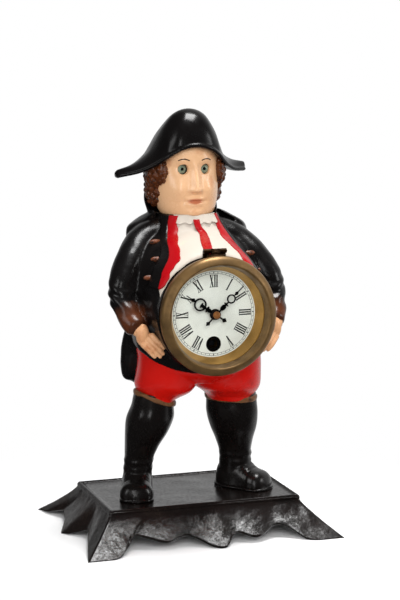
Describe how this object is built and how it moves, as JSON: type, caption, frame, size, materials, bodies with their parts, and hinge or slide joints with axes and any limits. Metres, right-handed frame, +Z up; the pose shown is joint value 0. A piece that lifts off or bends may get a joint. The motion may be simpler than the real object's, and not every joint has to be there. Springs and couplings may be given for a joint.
{
  "type": "figural mantel clock",
  "caption": "Painted cast-iron figure on a scalloped base, holding a round clock with hinged glazed bezel, Roman dial, ring hands, spring movement and rolling eyes worked by the escapement.",
  "frame": {"origin": "centre of the base's footprint, on the surface that its feet stand on", "axes": "+Z up; the figure and its dial face -Y; +X is to the right of someone who looks at the dial"},
  "size_m": [0.254, 0.191, 0.406],
  "materials": {
    "bronzed_iron": "worn bronze paint",
    "painted_iron": "gloss paint, worn",
    "brass": "aged, satin",
    "white_enamel": "matt",
    "black_enamel": "gloss",
    "clear_glass": "clear",
    "painted_eye": "gloss",
    "steel": "polished"
  },
  "bodies": {
    "case": {"base": "bronzed_iron", "figure_front": "painted_iron", "figure_back": "painted_iron", "base_screws": "steel", "shell_screws": "steel", "clock_drum": "brass", "drum_screws": "steel", "movement_screws": "steel", "hinge_pin": "steel", "dial": "white_enamel", "dial_feet": "brass", "reflector_ring": "brass", "minute_stud": "steel", "front_plate": "brass", "back_plate": "brass", "pillars": "brass", "pillar_screws": "steel", "escapement_bridge": "brass", "bridge_posts": "brass", "bridge_screws": "steel", "mainspring": "steel", "mainspring_post": "steel", "hairspring": "steel", "hairspring_stud": "steel", "eye_bracket": "brass", "bracket_screw": "steel"},
    "bezel_door": {"bezel": "brass", "bezel_glass": "clear_glass", "glass_retainer": "brass"},
    "minute_hand_group": {"cannon_pinion": "brass", "minute_hand": "black_enamel", "hand_nut": "brass"},
    "minute_wheel_group": {"minute_wheel": "brass"},
    "hour_hand_group": {"hour_wheel": "brass", "hour_hand": "black_enamel"},
    "centre_group": {"centre_arbor": "steel", "centre_wheel": "brass"},
    "third_group": {"third_arbor": "steel", "third_wheel": "brass"},
    "fourth_group": {"fourth_arbor": "steel", "fourth_wheel": "brass"},
    "escape_group": {"escape_arbor": "steel", "escape_wheel": "brass"},
    "great_group": {"great_wheel": "brass", "click_screw": "steel", "click_spring": "steel"},
    "winding_group": {"winding_arbor": "steel", "ratchet_wheel": "brass"},
    "click_group": {"click": "steel"},
    "lever_group": {"pallet_lever": "brass", "pallet_pins": "steel", "lever_arbor": "steel", "eye_crank": "steel"},
    "balance_group": {"balance_wheel": "brass", "balance_staff": "steel", "balance_roller": "brass"},
    "eye_rod_group": {"eye_rod": "steel"},
    "eye_group": {"eye_rocker": "steel", "eye_left": "painted_eye", "eye_right": "painted_eye"}
  },
  "joints": [
    {"name": "bezel_hinge", "type": "hinge", "parent": "case", "child": "bezel_door", "pos_m": [0, -0.081, 0.2798], "axis": [-1, 0, 0], "range_deg": [0, 110]},
    {"name": "minute_hand_turn", "type": "hinge", "parent": "case", "child": "minute_hand_group", "pos_m": [0, -0.078, 0.221], "axis": [0, 1, 0], "continuous": true},
    {"name": "minute_wheel_turn", "type": "hinge", "parent": "case", "child": "minute_wheel_group", "pos_m": [0.0072, -0.078, 0.23347], "axis": [0, 1, 0], "continuous": true},
    {"name": "hour_hand_turn", "type": "hinge", "parent": "case", "child": "hour_hand_group", "pos_m": [0, -0.078, 0.221], "axis": [0, 1, 0], "continuous": true},
    {"name": "fourth_turn", "type": "hinge", "parent": "case", "child": "fourth_group", "pos_m": [-0.00577, -0.078, 0.24275], "axis": [0, 1, 0], "continuous": true},
    {"name": "third_turn", "type": "hinge", "parent": "case", "child": "third_group", "pos_m": [-0.01958, -0.078, 0.23013], "axis": [0, 1, 0], "continuous": true},
    {"name": "centre_turn", "type": "hinge", "parent": "case", "child": "centre_group", "pos_m": [0, -0.078, 0.221], "axis": [0, 1, 0], "continuous": true},
    {"name": "great_turn", "type": "hinge", "parent": "case", "child": "great_group", "pos_m": [0, -0.078, 0.1925], "axis": [0, 1, 0], "continuous": true},
    {"name": "escape_turn", "type": "hinge", "parent": "case", "child": "escape_group", "pos_m": [0.01161, -0.078, 0.24741], "axis": [0, 1, 0], "continuous": true},
    {"name": "winding_turn", "type": "hinge", "parent": "great_group", "child": "winding_group", "pos_m": [0, -0.078, 0.1925], "axis": [0, 1, 0], "continuous": true},
    {"name": "click_drop", "type": "hinge", "parent": "great_group", "child": "click_group", "pos_m": [-0.00362, -0.078, 0.20602], "axis": [0, 1, 0], "range_deg": [0, 7]},
    {"name": "balance_swing", "type": "hinge", "parent": "case", "child": "balance_group", "pos_m": [-0.0035, -0.078, 0.2354], "axis": [0, 1, 0], "range_deg": [-24, 24], "stiffness_Nm_per_rad": 0.0001},
    {"name": "lever_rock", "type": "hinge", "parent": "case", "child": "lever_group", "pos_m": [0.014, -0.078, 0.2354], "axis": [0, 1, 0], "range_deg": [-8, 8]},
    {"name": "eye_rod_slide", "type": "slide", "parent": "case", "child": "eye_rod_group", "axis": [0, 0.0714, 0.9974], "range_m": [-0.00196, 0.00196]},
    {"name": "eye_roll", "type": "hinge", "parent": "case", "child": "eye_group", "pos_m": [0, -0.0135, 0.34988], "axis": [1, 0, 0], "range_deg": [-17.3, 17.3]}
  ],
  "couplings": [
    {"joint": "minute_wheel_turn", "follows": "minute_hand_turn", "ratio": -0.33333},
    {"joint": "hour_hand_turn", "follows": "minute_hand_turn", "ratio": 0.083333},
    {"joint": "third_turn", "follows": "fourth_turn", "ratio": -0.13333},
    {"joint": "centre_turn", "follows": "fourth_turn", "ratio": 0.016667},
    {"joint": "great_turn", "follows": "fourth_turn", "ratio": -0.0027778},
    {"joint": "escape_turn", "follows": "fourth_turn", "ratio": -8},
    {"joint": "lever_rock", "follows": "balance_swing", "ratio": -0.33333},
    {"joint": "eye_rod_slide", "follows": "balance_swing", "m_per_rad": -0.0046667},
    {"joint": "eye_roll", "follows": "balance_swing", "ratio": -0.71795}
  ]
}
